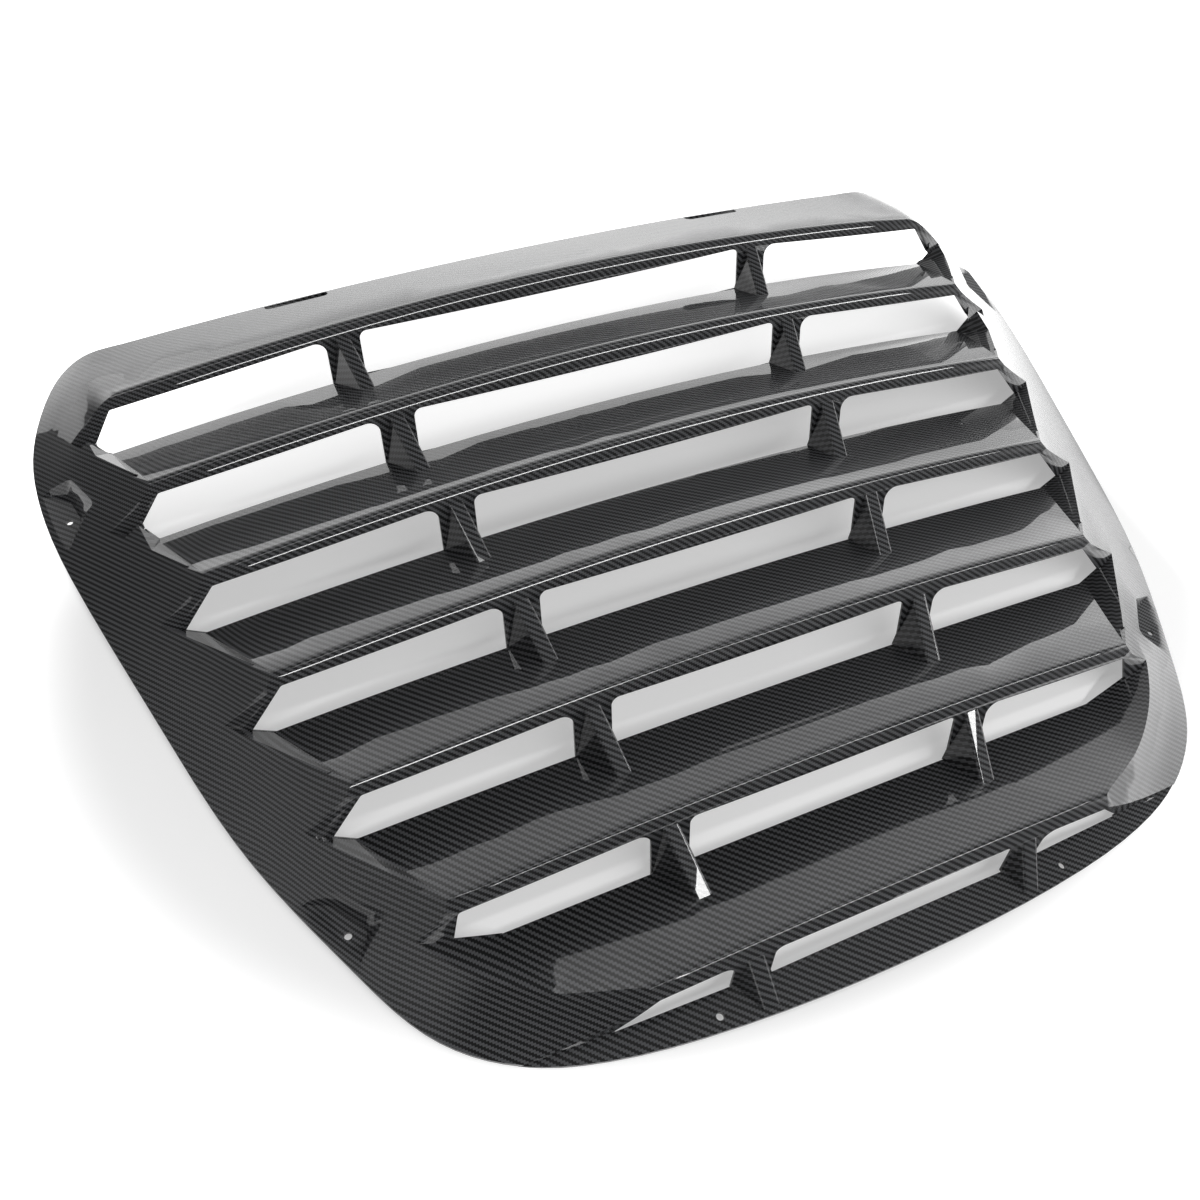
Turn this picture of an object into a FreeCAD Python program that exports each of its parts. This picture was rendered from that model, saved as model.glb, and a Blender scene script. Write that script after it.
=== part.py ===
"""Rear window louver for a coupe: one thin moulding, crowned across the car.

Origin: middle of the panel's footprint, on the floor it rests on.
+Z up, +Y towards the car's roof, +X to the right.  Millimetres.
"""
import os
from math import cos, pi, sin, tan

import FreeCAD
import Part

V = FreeCAD.Vector
os.makedirs("parts", exist_ok=True)

# Sheet
WALL_DROP = 4.0          # how far the underside lies below the top
WALL_SHIFT = 1.4         # and how far it lies forward, which thickens the steep faces
MARGIN = 60.0            # how far working bodies reach past the part

# Footprint
HALF_LENGTH = 454.0      # from the middle to the front edge and to the rear edge
HALF_WIDTH = 575.0
RIM_Z = WALL_DROP        # top of the rim along the sides
# half width of the foot of the side slopes, against the distance forward
FOOT = [(-520, 205), (-454, 282), (-402, 340), (-363, 383), (-289, 425), (-168, 477),
        (-20, 517), (149, 556), (285, 575), (362, 572), (412, 560), (460, 536), (520, 490)]
# right half of the trimmed edge, from the front middle round to the rear middle
EDGE = [(0, 454), (250, 454), (430, 452), (490, 449), (517, 441), (543, 412), (566, 362),
        (575, 290), (556, 149), (517, -20), (477, -168), (425, -289), (383, -363),
        (333, -404), (272, -428), (160, -447), (0, -454)]

# Side slopes and header
# rise over run of the side slopes at their foot, against the distance forward
SIDE_SLOPE = [(-520, 0.20), (-402, 0.22), (-290, 0.44), (-158, 0.43), (-36, 0.49), (86, 0.53),
              (208, 0.55), (330, 0.70), (520, 0.75)]
SIDE_HOLLOW = 0.0018     # how they steepen on the way up
HOLLOW_REACH = 200.0     # and where that ends, inboard of the foot
FRONT_Z = 52.0           # front edge, middle
FRONT_CROWN = 8.4e-5     # fall of the front edge per square millimetre of half width
HIP_SOFT = 14.0          # how softly the header turns into the side slopes
LID = 16.0               # the working body ends this far above the first crest
HAT_COLUMNS = 37         # grid of the outer surface
HAT_LINES = 31

# Slats
ROWS = 7                 # rows of openings; the last one lies over the rear flange
FIRST_CREST_Y = 330.0
PITCH = 122.0            # from one crest to the next
CREST_Z = 118.0          # first crest, middle
CREST_FALL = 0.034       # slope of the line of crests at the first one
CREST_BEND = 5.6e-5      # how that slope grows towards the rear
CREST_CROWN = 1.0 / 6000.0
LIP_RUN = 10.0           # the lip: how far it goes back
LIP_DROP = 9.0           # and down
RISER_RUN = 15.0         # the opening leans back by this much
CREST_R = 5.0            # rounding of the crests
CREST_CUT = 1.0          # how far that rounding's corner lies below the crest
CREST_EXIT = 0.17        # and the slope at which it runs out through the surface in front
TREAD_Z = [61.0, 56.0, 49.0, 38.0, 24.0, 12.0]        # front edges of the slats, middle
TREAD_END_Z = [25.0, 21.5, 19.0, 15.0, 10.5, 8.5]     # the same at their ends
TREAD_END_X = [495.0, 477.0, 459.0, 428.0, 392.0, 322.0, 250.0]
TIP_X = [529.0, 515.0, 494.0, 466.0, 429.0, 374.0, 300.0]
TIP_BACK = 13.0          # the pointed tips lie this far behind their crest
FOLD = 0.46              # where the end wall meets the slat, from slat corner to tip
FOLD_LAST = 0.05

# Rear flange
FLANGE_Z = 17.0
FLANGE_CROWN = 1.0 / 7000.0
FLANGE_FRONT_Y = -418.5
FLANGE_BOW = 1.14e-4     # its front edge curves forward towards the ends
CORNER_MID = (309.0, -361.0)     # last slat's end wall, half way round the corner
# which way that wall leans outward, and its run over rise, at its start, middle and end
CORNER_LEAN = [(0.79, -0.61, 2.0), (0.59, -0.81, 1.5), (0.35, -0.94, 1.0)]

# Ribs
RIB_X_REAR = 134.0       # half spacing at the last row
RIB_SPLAY = 0.150        # how fast the two lines of ribs spread towards the front
RIB_STRIP = 36.0         # width of the wall left standing between two openings
RIB_TOP = 14.0           # width of a rib's top face
RIB_DRAFT = 0.29         # how its sides flare downward
RIB_DEPTH = 70.0         # depth of the working body
RIB_START = 0.1          # and how far it runs past both ends, as a share of the rib
RIB_REACH = 57.0
RIB_REACH_LAST = 33.0
RIB_EDGE_R = 3.0
RIB_BITE = 1.2           # how far a rib runs into the walls that carry it
MIDDLE_R = 8.0           # upper corners of the middle openings
OUTER_R = 12.0           # and of the outer ones, beside the ribs
END_R = 4.0              # upper corner of the outer ones at their far end
OPENING_GAP = 0.4        # the openings stay this far off the end walls

# Recesses and screw holes
PAD = 3.5                # wall round and below each recess
HOLE_R = 3.25
HEADER_HOLE = (266.0, 441.5)
HEADER_FLOOR_Z = 46.0
UPPER_HOLE = (551.0, 245.0)
LOWER_HOLE = (421.0, -260.0)
SIDE_FLOOR_Z = 7.0
REAR_HOLE = (171.0, -434.0)
RECESS_RISE = 18.0       # height from a recess's floor to the second outline of its walls
# outlines as (x on the floor, y on the floor, x higher up, y higher up, corner radius)
HEADER_RECESS = [(228, 451, 227, 452, 1), (299, 449.5, 300, 450.5, 1), (299, 439, 301, 436, 7),
                 (228, 439, 226, 436, 7)]
UPPER_RECESS = [(590, 290, 592, 296, 2), (562, 285, 562, 294, 5), (547, 276, 541, 280, 9),
                (540, 246, 529, 240, 12), (557, 210, 552, 200, 4), (590, 205, 592, 196, 2)]
LOWER_RECESS = [(470, -220, 472, -214, 2), (443, -223, 443, -216, 4), (427, -230, 421, -223, 8),
                (404, -262, 392, -264, 10), (421, -288, 414, -296, 3), (450, -296, 452, -302, 2)]

FLATS = 3                # flats that make up the rounding of a crest or a recess
OVERRUN = 1.3            # working surfaces of the slats run past the next crest by this factor
BIG = 1700.0             # reach of working half spaces
DEEP = 400.0             # depth of the working body under the outer surface
TOP = 190.0              # levels between which the other working bodies stand
BOTTOM = -80.0


def smooth(table, t):
    """Value at t of a smooth line through the (t, value) pairs."""
    n = len(table)
    k = max(j for j in range(n - 1) if table[j][0] <= t or j == 0)
    t0, v0 = table[k]
    t1, v1 = table[k + 1]

    def lean(j):
        a = table[max(j - 1, 0)]
        b = table[min(j + 1, n - 1)]
        return (b[1] - a[1]) / (b[0] - a[0])

    w = t1 - t0
    s = (t - t0) / w
    return (v0 * (1 + 2 * s) * (1 - s) ** 2 + v1 * s * s * (3 - 2 * s)
            + w * lean(k) * s * (1 - s) ** 2 - w * lean(k + 1) * s * s * (1 - s))


# Heights
def crest_y(row):
    return FIRST_CREST_Y - PITCH * row


def crest_z(row, x):
    back = PITCH * row
    return CREST_Z - CREST_FALL * back - CREST_BEND * back * back - CREST_CROWN * x * x


def side_z(x, y):
    inboard = smooth(FOOT, y) - x
    hollow = SIDE_HOLLOW * min(max(inboard, 0.0), HOLLOW_REACH) ** 2
    return RIM_Z + smooth(SIDE_SLOPE, y) * inboard + hollow


def header_z(x, y):
    front = FRONT_Z - FRONT_CROWN * x * x
    rise = (crest_z(0, x) - front) / (HALF_LENGTH - FIRST_CREST_Y)
    return front + rise * (HALF_LENGTH - y)


def tread_z(row, x):
    if row == ROWS - 1:
        return FLANGE_Z - FLANGE_CROWN * x * x
    fall = (TREAD_Z[row] - TREAD_END_Z[row]) / TREAD_END_X[row] ** 2
    return TREAD_Z[row] - fall * x * x


def tread_y(row, x):
    if row == ROWS - 1:
        return FLANGE_FRONT_Y + FLANGE_BOW * x * x
    return crest_y(row) - LIP_RUN - RISER_RUN


def lip_z(row, x):
    return crest_z(row, x) - LIP_DROP


# Small helpers
def mirrored(shape):
    return shape.mirror(V(0, 0, 0), V(1, 0, 0))


def both(shape):
    return [shape, mirrored(shape)]


def half_space(point, normal):
    """A big block on the side of the plane that the normal points to."""
    block = Part.makeBox(BIG, BIG, BIG, V(-BIG / 2, -BIG / 2, 0))
    block.Placement = FreeCAD.Placement(point, FreeCAD.Rotation(V(0, 0, 1), normal))
    return block


def plane_side(a, b, c, towards):
    """Half space bounded by the plane through a, b and c, on the side of the direction given."""
    n = (b - a).cross(c - a)
    if n.dot(towards) < 0:
        n = n * -1
    return half_space(a, n)


def rounded(corners):
    """Closed wire through (point, radius) corners, each rounded by its radius."""
    edges, start, last = [], None, None
    for k, (p, radius) in enumerate(corners):
        back = (corners[k - 1][0] - p).normalize()
        ahead = (corners[(k + 1) % len(corners)][0] - p).normalize()
        half = back.getAngle(ahead) / 2
        into, out, mid = p, p, p
        if radius > 0:
            reach = radius / tan(half)
            into, out = p + back * reach, p + ahead * reach
            mid = p + (back + ahead).normalize() * (radius / sin(half) - radius)
        if last is not None:
            edges.append(Part.makeLine(last, into))
        else:
            start = into
        if radius > 0:
            edges.append(Part.Arc(into, mid, out).toShape())
        last = out
    edges.append(Part.makeLine(last, start))
    return Part.Wire(edges)


def eased(before, corner, after, radius):
    """Points of a rounding between two straight runs, as a few equal flats."""
    back = (before - corner).normalize()
    ahead = (after - corner).normalize()
    half = back.getAngle(ahead) / 2
    middle = (back + ahead).normalize()
    centre = corner + middle * (radius / sin(half))
    start = corner + back * (radius / tan(half)) - centre
    axis = start.cross(corner - centre).normalize()
    turn = pi - 2 * half
    points = []
    for k in range(FLATS + 1):
        angle = turn * k / FLATS
        points.append(centre + start * cos(angle) + axis.cross(start) * sin(angle))
    return points


def swept(section, half):
    """Body whose section at x is section(x), a list of points, smooth across the panel."""
    wires = []
    for x in (-half, 0.0, half):
        points = section(x)
        wires.append(Part.makePolygon(points + points[:1]))
    return Part.makeLoft(wires, True, False)


# Key points of one row, right side
def shoulder(row):
    """Outer end of a crest, where it meets the side slope."""
    y = crest_y(row)
    lo, hi = 0.0, smooth(FOOT, y)
    for _ in range(50):
        mid = (lo + hi) / 2
        if side_z(mid, y) > crest_z(row, mid):
            lo = mid
        else:
            hi = mid
    return V(lo, y, crest_z(row, lo))


def row_points(row):
    p = shoulder(row)
    qx = p.x - 3.0
    q = V(qx, p.y - LIP_RUN, lip_z(row, qx))
    ty = p.y - TIP_BACK
    t = V(TIP_X[row], ty, side_z(TIP_X[row], ty))
    fold = FOLD
    if row == ROWS - 1:
        t.z = tread_z(row, t.x)
        fold = FOLD_LAST
    fx = TREAD_END_X[row]
    f = V(fx, tread_y(row, fx), tread_z(row, fx))
    b = f + (t - f) * fold
    return p, q, t, f, b


# Outer body
def softer_min(a, b, reach):
    """The lower of two heights, with the corner between them rounded off."""
    h = max(reach - abs(a - b), 0.0) / reach
    return min(a, b) - h * h * reach / 4


def hat_z(x, y):
    """Height of the unbroken outer surface: header in front, side slopes left and right."""
    lid = min(header_z(x, y), CREST_Z + LID)
    return softer_min(lid, side_z(abs(x), y), HIP_SOFT)


def hat():
    """Everything below the outer surface."""
    xs = [(2.0 * i / (HAT_COLUMNS - 1) - 1) * (HALF_WIDTH + MARGIN) for i in range(HAT_COLUMNS)]
    ys = [(2.0 * j / (HAT_LINES - 1) - 1) * (HALF_LENGTH + MARGIN) for j in range(HAT_LINES)]
    surface = Part.BSplineSurface()
    surface.interpolate([[V(x, y, hat_z(x, y)) for y in ys] for x in xs])
    return surface.toShape().extrude(V(0, 0, -DEEP))


# The pockets between one crest and the next
def run_out(row, x):
    """Direction in which a crest's rounding leaves it forward, a little above the surface there."""
    y, z = crest_y(row), crest_z(row, x)
    if row == 0:
        ahead = V(0, HALF_LENGTH - y, header_z(x, HALF_LENGTH) - z)
    else:
        ahead = V(0, tread_y(row - 1, x) - y, tread_z(row - 1, x) - z)
    ahead.normalize()
    return (ahead + V(0, 0, CREST_EXIT)).normalize()


def row_void(row):
    """Space over one slat: behind its opening and lip, above its tread."""

    def section(x):
        ay, az = tread_y(row, x), tread_z(row, x)
        q = V(x, crest_y(row) - LIP_RUN, lip_z(row, x))
        lip = V(0, LIP_RUN, LIP_DROP)
        corner = q + lip * (1 - CREST_CUT / lip.Length)
        out = corner + run_out(row, x) * (4 * CREST_R)
        if row == ROWS - 1:
            ey, ez = -HALF_LENGTH - MARGIN, az
        else:
            ey = ay + OVERRUN * (crest_y(row + 1) - ay)
            ez = az + OVERRUN * (crest_z(row + 1, x) - az)
        floor = [V(x, ay, az), V(x, ey, ez), V(x, ey, TOP), V(x, out.y, TOP), out]
        return floor + eased(out, corner, q, CREST_R) + [q]

    return swept(section, HALF_WIDTH + MARGIN)


def cheek_space(row):
    """Space inboard of and above one slat's end wall, right side."""
    p, q, t, f, b = row_points(row)
    s = shoulder(row + 1)
    return plane_side(f, t, s, V(0, 0, 1))


def corner_space():
    """Space inside the last slat's curved end walls."""
    t = row_points(ROWS - 2)[2]
    s = shoulder(ROWS - 1)
    m = V(CORNER_MID[0], CORNER_MID[1], side_z(*CORNER_MID))
    wires = []
    for z in (BOTTOM, TOP):
        right = []
        for pt, (dx, dy, flare) in zip((t, m, s), CORNER_LEAN):
            right.append(V(pt.x, pt.y, z) + V(dx, dy, 0) * (flare * (z - pt.z)))
        front = right[0] + V(0, 260, 0)
        left = [V(-r.x, r.y, z) for r in right]
        wires.append(Part.Wire([
            Part.makeLine(V(-front.x, front.y, z), front),
            Part.makeLine(front, right[0]),
            Part.Arc(right[0], right[1], right[2]).toShape(),
            Part.makeLine(right[2], left[2]),
            Part.Arc(left[2], left[1], left[0]).toShape(),
            Part.makeLine(left[0], V(-front.x, front.y, z))]))
    return Part.makeLoft(wires, True, True)


def end_void(row):
    """Outer tip of a row: below the lip's tapering end and behind the end wall, right side."""
    p, q, t, f, b = row_points(row)
    block = Part.makeBox(t.x - q.x + 40, p.y - f.y + 25, TOP, V(q.x - 15, f.y - 5, -20))
    block = block.common(plane_side(p, q, t, V(0, 0, 1)))
    block = block.common(plane_side(q, t, f, V(0, -1, 0)))
    if row < ROWS - 1:
        return block.common(cheek_space(row))
    return block.common(plane_side(f, t, t + V(0, -50, 0), V(0, 0, 1)))


def carve(body):
    for row in range(ROWS):
        void = row_void(row)
        if row < ROWS - 2:
            for s in both(cheek_space(row)):
                void = void.common(s)
        elif row == ROWS - 2:
            void = void.common(corner_space())
        body = body.cut(void)
        body = body.cut(end_void(row)).cut(mirrored(end_void(row)))
    return body


# Plan edge
def plan_prism(z0, z1):
    right = Part.BSplineCurve()
    right.interpolate([V(x, y, z0) for x, y in EDGE], InitialTangent=V(1, 0, 0), FinalTangent=V(-1, 0, 0))
    edge = right.toShape()
    wire = Part.Wire([edge, edge.mirror(V(0, 0, 0), V(1, 0, 0))])
    return Part.Face(wire).extrude(V(0, 0, z1 - z0))


# Openings, ribs
def rib_x(y):
    last = crest_y(ROWS - 1) - LIP_RUN
    return RIB_X_REAR + RIB_SPLAY * (y - last)


def middle_opening(row, half):
    """Window between the two ribs; it reaches below the slat's edge and leaves it clean."""
    y0 = tread_y(row, 0) - OPENING_GAP

    def up(x):
        return V(x, y0, lip_z(row, x) - OPENING_GAP)

    foot = tread_z(row, 0) - 2 * WALL_DROP
    corners = [(V(-half, y0, foot), 0), (V(half, y0, foot), 0),
               (up(half), MIDDLE_R), (up(-half), MIDDLE_R)]
    return Part.Face(rounded(corners)).extrude(V(0, LIP_RUN + RISER_RUN, 0))


def outer_opening(row, x0):
    """Window from a rib to the end wall, right side."""
    p, q, t, f, b = row_points(row)
    y0 = tread_y(row, x0)

    def at(x, z):
        return V(x, y0 + (f.y - y0) * (x - x0) / (f.x - x0) - OPENING_GAP, z)

    corners = [(at(x0, lip_z(row, x0) - OPENING_GAP), OUTER_R),
               (at(x0, tread_z(row, x0) - 2 * WALL_DROP), 0),
               (at(f.x, f.z - 2 * WALL_DROP), 0),
               (at(b.x, b.z), 0),
               (at(q.x - 1, lip_z(row, q.x) - OPENING_GAP), END_R)]
    body = Part.Face(rounded(corners)).extrude(V(0, LIP_RUN + RISER_RUN, 0))
    if row == ROWS - 1:
        return body
    wall = corner_space() if row == ROWS - 2 else cheek_space(row)
    return body.common(wall.translated(V(0, 0, OPENING_GAP)))


def row_openings(row):
    x = rib_x(crest_y(row) - LIP_RUN)
    side = outer_opening(row, x + RIB_STRIP / 2)
    return both(side) + [middle_opening(row, x - RIB_STRIP / 2)]


def rib(row):
    """Wedge with drafted sides that ties the lip to the slat below it, right side."""
    y0 = crest_y(row) - LIP_RUN
    reach = RIB_REACH_LAST if row == ROWS - 1 else RIB_REACH
    y1 = y0 - reach
    x0, x1 = rib_x(y0), rib_x(y1)
    if row == ROWS - 1:
        foot_z = tread_z(row, x1)
    else:
        share = (tread_y(row, x1) - y1) / (tread_y(row, x1) - crest_y(row + 1))
        foot_z = tread_z(row, x1) + share * (crest_z(row + 1, x1) - tread_z(row, x1))
    top = V(x0, y0, lip_z(row, x0) - 1)
    fall = V(x1, y1, foot_z) - top
    start = top - fall * RIB_START
    low = RIB_TOP / 2 + RIB_DRAFT * RIB_DEPTH
    corners = [V(-RIB_TOP / 2, 0, 0), V(RIB_TOP / 2, 0, 0),
               V(low, 0, -RIB_DEPTH), V(-low, 0, -RIB_DEPTH)]
    section = Part.makePolygon([start + c for c in corners + corners[:1]])
    body = Part.Face(section).extrude(fall * (1 + 2 * RIB_START))
    upper = []
    for e in body.Edges:
        a, c = e.Vertexes[0].Point, e.Vertexes[-1].Point
        if (a - c).cross(fall).Length < 1 and max(a.z, c.z) > start.z - 1:
            upper.append(e)
    body = body.makeFillet(RIB_EDGE_R, upper)
    seat = row_void(row).translated(V(0, RIB_BITE, -RIB_BITE))
    return body.common(seat)


# Recesses
def pocket(outline, floor, wall):
    """Drafted body over a recess's outline, grown by the wall."""
    wires = []
    for k in (0, 2):
        z = floor - wall + (RECESS_RISE + wall) * k
        corners = [V(x + (u - x) * k, y + (v - y) * k, z) for x, y, u, v, radius in outline]
        points = []
        for j, corner in enumerate(corners):
            after = corners[(j + 1) % len(corners)]
            points.extend(eased(corners[j - 1], corner, after, outline[j][4]))
        middle = sum(points, V()) * (1 / len(points))
        grown = [p + (p - middle).normalize() * wall for p in points]
        wires.append(Part.makePolygon(grown + grown[:1]))
    return Part.makeLoft(wires, True, True)


def recess_parts(solid_top, edge):
    """Pads that carry the recesses, and the hollows themselves, both sides."""
    pads, hollows = [], []
    for outline, floor in ((HEADER_RECESS, HEADER_FLOOR_Z), (UPPER_RECESS, SIDE_FLOOR_Z),
                           (LOWER_RECESS, SIDE_FLOOR_Z)):
        pads.extend(both(pocket(outline, floor, PAD).common(edge).common(solid_top)))
        hollows.extend(both(pocket(outline, floor, 0)))
    return pads, hollows


def screw_holes():
    out = []
    for x, y in (HEADER_HOLE, UPPER_HOLE, LOWER_HOLE, REAR_HOLE):
        for s in (1, -1):
            out.append(Part.makeCylinder(HOLE_R, BIG, V(s * x, y, -BIG / 2)))
    return out


def louver():
    edge = plan_prism(BOTTOM / 2, TOP)
    solid_top = carve(hat())
    trimmed = solid_top.common(edge)
    under = solid_top.translated(V(0, WALL_SHIFT, -WALL_DROP))
    gaps = []
    ribs = []
    for row in range(ROWS):
        gaps.extend(row_openings(row))
        ribs.extend(both(rib(row).common(edge)))
    pads, hollows = recess_parts(trimmed, edge)
    floor = Part.makeBox(BIG, BIG, BIG, V(-BIG / 2, -BIG / 2, -BIG))
    sheet = trimmed.cut([under] + gaps)
    sheet = sheet.fuse(ribs + pads)
    return sheet.cut(hollows + screw_holes() + [floor])


if __name__ == "__main__":
    part = louver()
    box = part.optimalBoundingBox()
    print("size", round(box.XLength, 1), round(box.YLength, 1), round(box.ZLength, 1), "solids",
          len(part.Solids), "volume", round(part.Volume), "valid", part.isValid())
    part.exportStep("parts/louver_panel.step")
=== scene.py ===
import math

import bmesh
import bpy
from mathutils import Matrix, Vector


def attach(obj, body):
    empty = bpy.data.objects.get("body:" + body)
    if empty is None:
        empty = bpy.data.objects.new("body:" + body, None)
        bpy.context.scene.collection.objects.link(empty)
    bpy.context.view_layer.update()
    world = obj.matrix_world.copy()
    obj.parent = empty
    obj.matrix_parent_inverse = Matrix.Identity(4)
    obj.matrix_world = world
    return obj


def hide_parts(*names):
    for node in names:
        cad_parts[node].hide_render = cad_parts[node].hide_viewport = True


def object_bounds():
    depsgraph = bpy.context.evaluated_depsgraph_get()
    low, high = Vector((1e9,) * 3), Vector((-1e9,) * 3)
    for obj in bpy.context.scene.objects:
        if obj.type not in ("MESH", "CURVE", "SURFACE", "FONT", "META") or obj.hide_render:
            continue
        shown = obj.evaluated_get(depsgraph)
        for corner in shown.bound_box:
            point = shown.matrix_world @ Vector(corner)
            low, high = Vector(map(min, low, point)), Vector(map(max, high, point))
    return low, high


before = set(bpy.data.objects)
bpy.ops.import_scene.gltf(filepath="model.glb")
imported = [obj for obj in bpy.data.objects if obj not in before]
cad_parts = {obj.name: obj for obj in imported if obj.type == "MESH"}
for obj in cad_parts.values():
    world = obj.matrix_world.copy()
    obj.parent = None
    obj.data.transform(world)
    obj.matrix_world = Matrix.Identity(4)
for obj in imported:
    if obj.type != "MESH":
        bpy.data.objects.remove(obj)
cad_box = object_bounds()


# The moulding itself: one thin black plastic panel, vacuum formed over a tool, trimmed
# round its rim and cut open under every crest.  A copy of the solid is welded, so that
# its crowned faces shade as smooth surfaces, and its sharp corners are eased a little.
WELD_GAP = 1e-5
SHARP_EDGE = math.radians(32)
EDGE_EASE = 0.0008
EASE_STEPS = 2
ROUND_PROFILE = 0.5


def add_object(name, data):
    """Puts a new object that holds the data into the scene."""
    made = bpy.data.objects.new(name, data)
    bpy.context.scene.collection.objects.link(made)
    return made


panel_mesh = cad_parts["louver_panel"].data.copy()
panel_mesh.name = "moulded_panel"
weld = bmesh.new()
weld.from_mesh(panel_mesh)
bmesh.ops.remove_doubles(weld, verts=weld.verts, dist=WELD_GAP)
corners = [edge for edge in weld.edges if edge.is_manifold and edge.calc_face_angle(0) > SHARP_EDGE]
eased = bmesh.ops.bevel(weld, geom=corners, offset=EDGE_EASE, offset_type="OFFSET", segments=EASE_STEPS,
                        profile=ROUND_PROFILE, affect="EDGES", clamp_overlap=True)
eased_faces = set(eased["faces"])
for face in weld.faces:
    face.smooth = True
for edge in weld.edges:
    # An edge with one eased face beside it is where the easing starts, and stays crisp.
    eased_sides = sum(face in eased_faces for face in edge.link_faces)
    edge.smooth = edge.is_manifold and eased_sides != 1 and edge.calc_face_angle(0) < SHARP_EDGE
weld.to_mesh(panel_mesh)
weld.free()
panel = add_object("moulded_panel", panel_mesh)


# The panel's finish: a film of two-by-two carbon twill that was stretched over the teeth
# and skirts with the sheet, under a thick coat of gloss lacquer.  Warp tows that lie on
# top catch the light, weft tows stay dark.
TOW = 0.0019
TWILL_REPEAT = 4
TWILL_OVER = 2
LIP_DRAPE = 0.66
SKIRT_DRAPE = 0.45
SKIRT_FROM, SKIRT_TO = 0.40, 0.47
RIM_HEIGHT = 0.07
TOW_EDGE_LIGHT = 0.7
TOW_CROWN_LIGHT = 0.3
TOW_DARK = (0.004, 0.0042, 0.0046, 1)
TOW_LIGHT = (0.085, 0.087, 0.092, 1)
PRINT_ROUGHNESS = 0.5
PRINT_SHEEN_LEVEL = 0.15
LACQUER_ROUGHNESS = 0.012
LACQUER_IOR = 1.5


class Wire:
    """One output of a node, with arithmetic that adds Math nodes behind it."""

    def __init__(self, tree, socket):
        self.tree = tree
        self.socket = socket

    def node(self, kind, settings=(), out=0, **inputs):
        """Adds any node; inputs are given by name (spaces as _) or by number after an i."""
        made = self.tree.nodes.new(kind)
        for name, value in dict(settings).items():
            if name == "stops":
                for spot, grey in value[1:-1]:
                    made.color_ramp.elements.new(spot)
                for element, (spot, grey) in zip(made.color_ramp.elements, value):
                    element.position = spot
                    element.color = (grey, grey, grey, 1)
            else:
                setattr(made, name, value)
        for name, value in inputs.items():
            key = int(name[1:]) if name[0] == "i" and name[1:].isdigit() else name.replace("_", " ")
            target = made.inputs[key]
            if isinstance(value, Wire):
                self.tree.links.new(value.socket, target)
            else:
                target.default_value = value
        return Wire(self.tree, made.outputs[out])

    def math(self, operation, *values):
        inputs = {"i%d" % number: value for number, value in enumerate(values)}
        return self.node("ShaderNodeMath", {"operation": operation}, **inputs)

    def __add__(self, other):
        return self.math("ADD", self, other)

    __radd__ = __add__

    def __mul__(self, other):
        return self.math("MULTIPLY", self, other)

    __rmul__ = __mul__

    def __sub__(self, other):
        return self.math("SUBTRACT", self, other)

    def __rsub__(self, other):
        return self.math("SUBTRACT", other, self)

    def __truediv__(self, other):
        return self.math("DIVIDE", self, other)

    def __mod__(self, other):
        return self.math("FLOORED_MODULO", self, other)

    def __lt__(self, other):
        return self.math("LESS_THAN", self, other)


def axes(place):
    """The x, y and z of a place or direction."""
    return [place.node("ShaderNodeSeparateXYZ", out=axis, Vector=place) for axis in "XYZ"]


def smooth_step(value, start, end, low, high):
    """Eases from low to high while the value goes from start to end."""
    return value.node("ShaderNodeMapRange", {"interpolation_type": "SMOOTHSTEP"}, Value=value,
                      From_Min=start, From_Max=end, To_Min=low, To_Max=high)


def new_material(name):
    """An empty node material: its surface output's socket and a wire to build on."""
    material = bpy.data.materials.new(name)
    material.use_nodes = True
    material.node_tree.nodes.clear()
    output = material.node_tree.nodes.new("ShaderNodeOutputMaterial")
    return material, output.inputs["Surface"], Wire(material.node_tree, None)


def lacquered_twill():
    """The twill runs along the panel's length and width, and leans where the film was draped."""
    material, surface, w = new_material("lacquered_twill")
    x, y, z = axes(w.node("ShaderNodeTexCoord", out="Object"))
    skirt_drape = smooth_step(w.math("ABSOLUTE", x), SKIRT_FROM, SKIRT_TO, 0.0, SKIRT_DRAPE)
    u = (x - skirt_drape * w.math("SIGN", x) * (z - RIM_HEIGHT)) / TOW
    v = (y + LIP_DRAPE * z) / TOW
    warp_up = (w.math("FLOOR", u) + w.math("FLOOR", v)) % TWILL_REPEAT < TWILL_OVER - 0.5
    across = warp_up * w.math("FRACT", v) + (1 - warp_up) * w.math("FRACT", u)
    crown = 4 * across * (1 - across)  # 0 at a tow's edges, 1 along its middle
    colour = w.node("ShaderNodeMix", {"data_type": "RGBA"}, out=2,
                    i0=warp_up * (TOW_EDGE_LIGHT + TOW_CROWN_LIGHT * crown), i6=TOW_DARK, i7=TOW_LIGHT)
    shader = w.node("ShaderNodeBsdfPrincipled", Base_Color=colour, Roughness=PRINT_ROUGHNESS,
                    Specular_IOR_Level=PRINT_SHEEN_LEVEL,
                    Coat_Weight=1.0, Coat_Roughness=LACQUER_ROUGHNESS, Coat_IOR=LACQUER_IOR)
    w.tree.links.new(shader.socket, surface)
    return material


panel_mesh.materials.clear()
panel_mesh.materials.append(lacquered_twill())
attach(panel, "root")
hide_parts("louver_panel")


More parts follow.
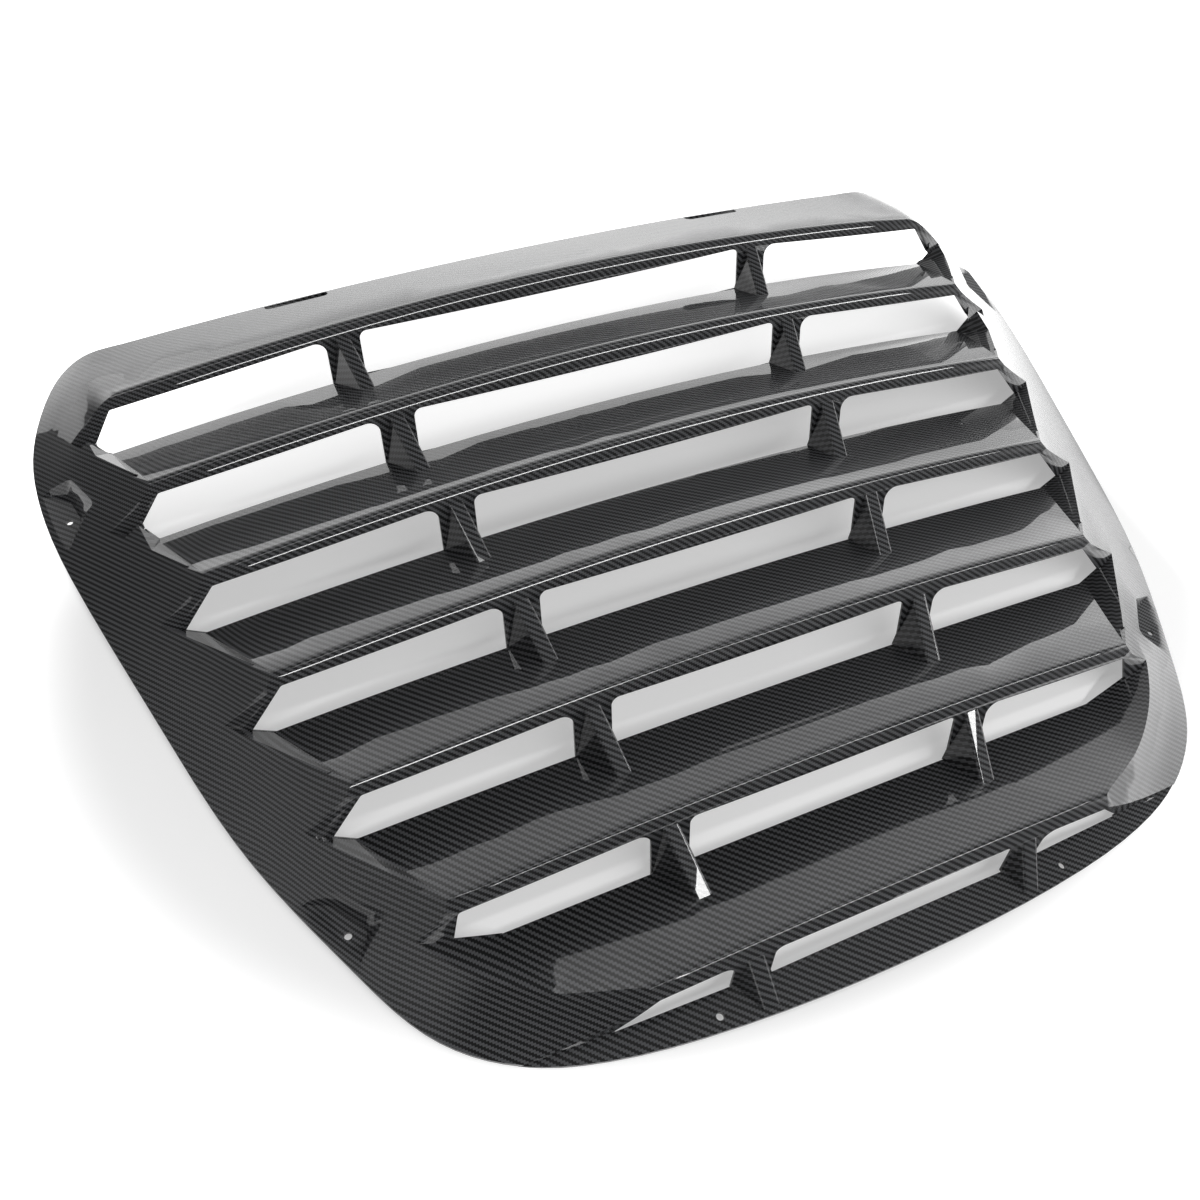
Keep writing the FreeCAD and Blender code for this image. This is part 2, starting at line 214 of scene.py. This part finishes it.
# The floor: a wide sheet of white paper, which the camera sees as plain white wherever the
# panel doesn't shade it.  It glows a little, more so towards the roof end and outside the
# panel's outline, and most at the right, where the header and the right rail mirror it.
FLOOR_REACH = 12.0
PAPER = (0.65, 0.65, 0.65, 1)
PAPER_GLOW = 0.37
ROOF_END_GLOW = 0.45
ROOF_END_FROM, ROOF_END_TO = 0.12, 0.32
OUTER_GLOW = 0.75
OUTER_FROM, OUTER_TO = 0.98, 1.22
RIGHT_GLOW = 2.5
RIGHT_FROM, RIGHT_TO = 0.5, 0.62
RIGHT_FADE_FROM, RIGHT_FADE_TO = 0.3, 0.6
LACQUER_SEES = 0.6

floor_mesh = bpy.data.meshes.new("paper_floor")
floor_mesh.from_pydata([(side_x * FLOOR_REACH, side_y * FLOOR_REACH, cad_box[0].z)
                        for side_x, side_y in ((-1, -1), (1, -1), (1, 1), (-1, 1))], [], [(0, 1, 2, 3)])
floor = add_object("paper_floor", floor_mesh)
paper, paper_surface, w = new_material("white_paper")
seen = w.math("MAXIMUM", w.node("ShaderNodeLightPath", out="Is Camera Ray"),
              w.node("ShaderNodeLightPath", out="Is Glossy Ray") * LACQUER_SEES)
across, along = axes(w.node("ShaderNodeTexCoord", out="Object"))[:2]
roof_end = smooth_step(along, ROOF_END_FROM, ROOF_END_TO, 0.0, ROOF_END_GLOW)
part_across = across / cad_box[1].x
part_along = along / cad_box[1].y
beyond = w.math("SQRT", part_across * part_across + part_along * part_along)
outer = smooth_step(beyond, OUTER_FROM, OUTER_TO, 0.0, OUTER_GLOW)
right_side = smooth_step(across, RIGHT_FROM, RIGHT_TO, 0.0, RIGHT_GLOW)
beside = smooth_step(along, RIGHT_FADE_FROM, RIGHT_FADE_TO, 1.0, 0.0)
matt = w.node("ShaderNodeBsdfDiffuse", Color=PAPER)
glow = w.node("ShaderNodeEmission", Color=seen * (roof_end + outer + right_side * beside + PAPER_GLOW),
              Strength=1.0)
w.tree.links.new(w.node("ShaderNodeAddShader", i0=matt, i1=glow).socket, paper_surface)
floor_mesh.materials.append(paper)


# The studio: a dark room with a wide backdrop beyond the header, a bright screen low at the
# right and a faint glow at the left.  The lacquer mirrors all three, and the camera sees white.
ROOM = 0.08
# Each wall's strength, the bearing of its middle, and how many degrees either side of that it
# is full and ends; then its brightness by height, which is 0 at the floor and 1 overhead.
WALLS = (
    (3.0, 20, 32, 60, ((0.0, 0.5), (0.08, 0.55), (0.17, 0.95), (0.3, 0.45), (0.6, 0.26), (0.85, 0.14),
                       (1.0, 0.03))),
    (3.0, 88, 20, 44, ((0.0, 1.0), (0.35, 0.9), (0.5, 0.0), (1.0, 0.0))),
    (0.6, -92, 12, 36, ((0.0, 0.0), (0.3, 0.25), (0.45, 0.8), (0.65, 1.0), (0.85, 0.4), (1.0, 0.0))),
)
LEAST_LEVEL = 0.0001

world = bpy.data.worlds.new("studio")
bpy.context.scene.world = world
world.use_nodes = True
world.node_tree.nodes.clear()
room_output = world.node_tree.nodes.new("ShaderNodeOutputWorld")
w = Wire(world.node_tree, None)
aim_x, aim_y, aim_z = axes(w.node("ShaderNodeTexCoord", out="Generated"))
level_reach = w.math("SQRT", w.math("MAXIMUM", 1 - aim_z * aim_z, LEAST_LEVEL))
light = ROOM
for strength, towards, full, end, stops in WALLS:
    bearing = math.radians(towards)
    facing = (aim_x * math.sin(bearing) + aim_y * math.cos(bearing)) / level_reach
    sideways = smooth_step(facing, math.cos(math.radians(end)), math.cos(math.radians(full)), 0.0, 1.0)
    light = light + strength * (sideways * w.node("ShaderNodeValToRGB", {"stops": stops}, Fac=aim_z))
camera_sees = w.node("ShaderNodeLightPath", out="Is Camera Ray")
back = w.node("ShaderNodeBackground", Color=camera_sees + (1 - camera_sees) * light, Strength=1.0)
w.tree.links.new(back.socket, room_output.inputs["Surface"])


# Two thin strip lamps, one overhead and one in front.  The eased corners mirror them as the
# fine bright lines along the crests and ribs.
# Each strip's name and place, the point that it faces, its width, depth and watts.
STRIPS = (
    ("overhead_strip", (-0.1, -0.55, 2.4), (-0.1, -0.2, 0.0), 3.0, 0.16, 11),
    ("front_strip", (0.9, -1.75, 1.82), (0.3, -0.05, 0.08), 3.8, 0.15, 38),
)

for name, place, aim_at, width, depth, watts in STRIPS:
    lamp = bpy.data.lights.new(name, "AREA")
    lamp.shape = "RECTANGLE"
    lamp.size = width
    lamp.size_y = depth
    lamp.energy = watts
    holder = add_object(name, lamp)
    holder.location = place
    holder.rotation_euler = (Vector(aim_at) - Vector(place)).to_track_quat("-Z", "Y").to_euler()


# The camera stands where the photograph was taken from.  It looks down over the narrow end,
# from its left, and is turned a little.
FOCAL_PIXELS = 1174.0
PHOTO_PIXELS = 1200.0
SENSOR_WIDTH = 36.0
CAMERA_PLACE = (-0.4450, -0.6152, 0.9477)
CAMERA_AZIMUTH = math.radians(-30.778)
CAMERA_ELEVATION = math.radians(53.880)
CAMERA_ROLL = math.radians(8.466)

camera_data = bpy.data.cameras.new("photo_camera")
camera_data.sensor_width = SENSOR_WIDTH
camera_data.lens = SENSOR_WIDTH * FOCAL_PIXELS / PHOTO_PIXELS
camera = add_object("photo_camera", camera_data)
away = Vector((math.sin(CAMERA_AZIMUTH) * math.cos(CAMERA_ELEVATION),
               -math.cos(CAMERA_AZIMUTH) * math.cos(CAMERA_ELEVATION), math.sin(CAMERA_ELEVATION)))
level = Vector((math.cos(CAMERA_AZIMUTH), math.sin(CAMERA_AZIMUTH), 0))
upright = away.cross(level)
right = level * math.cos(CAMERA_ROLL) + upright * math.sin(CAMERA_ROLL)
up = upright * math.cos(CAMERA_ROLL) - level * math.sin(CAMERA_ROLL)
camera.matrix_world = Matrix.Translation(CAMERA_PLACE) @ Matrix((right, up, away)).transposed().to_4x4()
bpy.context.scene.camera = camera
bpy.context.scene.view_settings.view_transform = "Standard"
